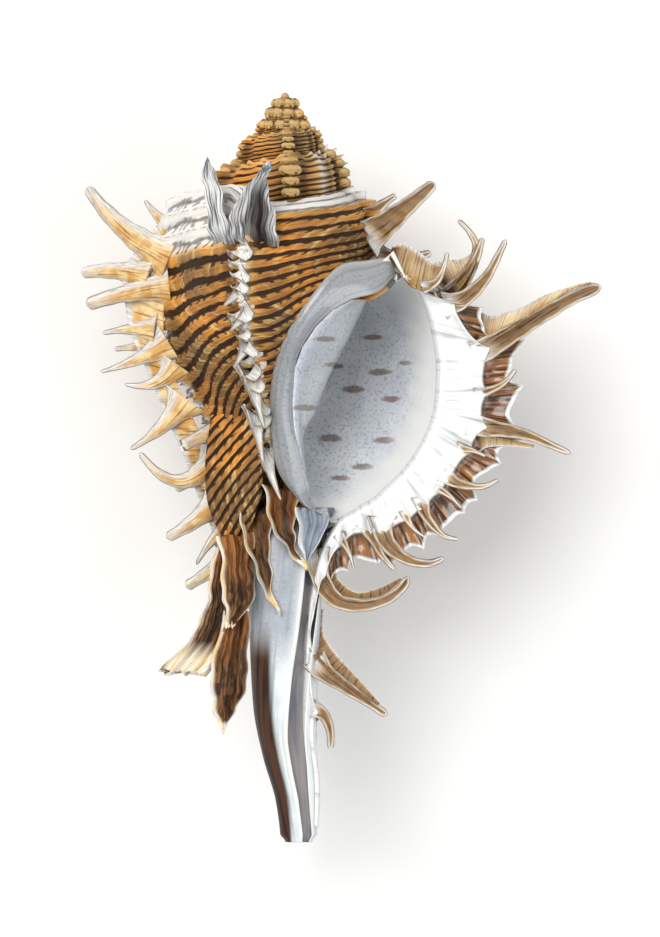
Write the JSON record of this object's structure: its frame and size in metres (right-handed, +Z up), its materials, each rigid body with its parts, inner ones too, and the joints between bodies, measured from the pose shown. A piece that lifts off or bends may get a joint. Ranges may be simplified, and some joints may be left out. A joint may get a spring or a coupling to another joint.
{
  "type": "murex shell",
  "caption": "Spiny coiled sea shell with a knobbed spire, an oval mouth, a frilled outer lip and a long open siphon canal.",
  "frame": {"origin": "on the surface that the shell lies on, under the middle of its outline", "axes": "+Z up, out of the mouth; +Y along the shell towards its apex; +X towards the outer lip"},
  "size_m": [0.0838, 0.1201, 0.049],
  "materials": {
    "shell": "satin"
  },
  "bodies": {
    "root": {"murex_shell": "shell"}
  },
  "joints": []
}
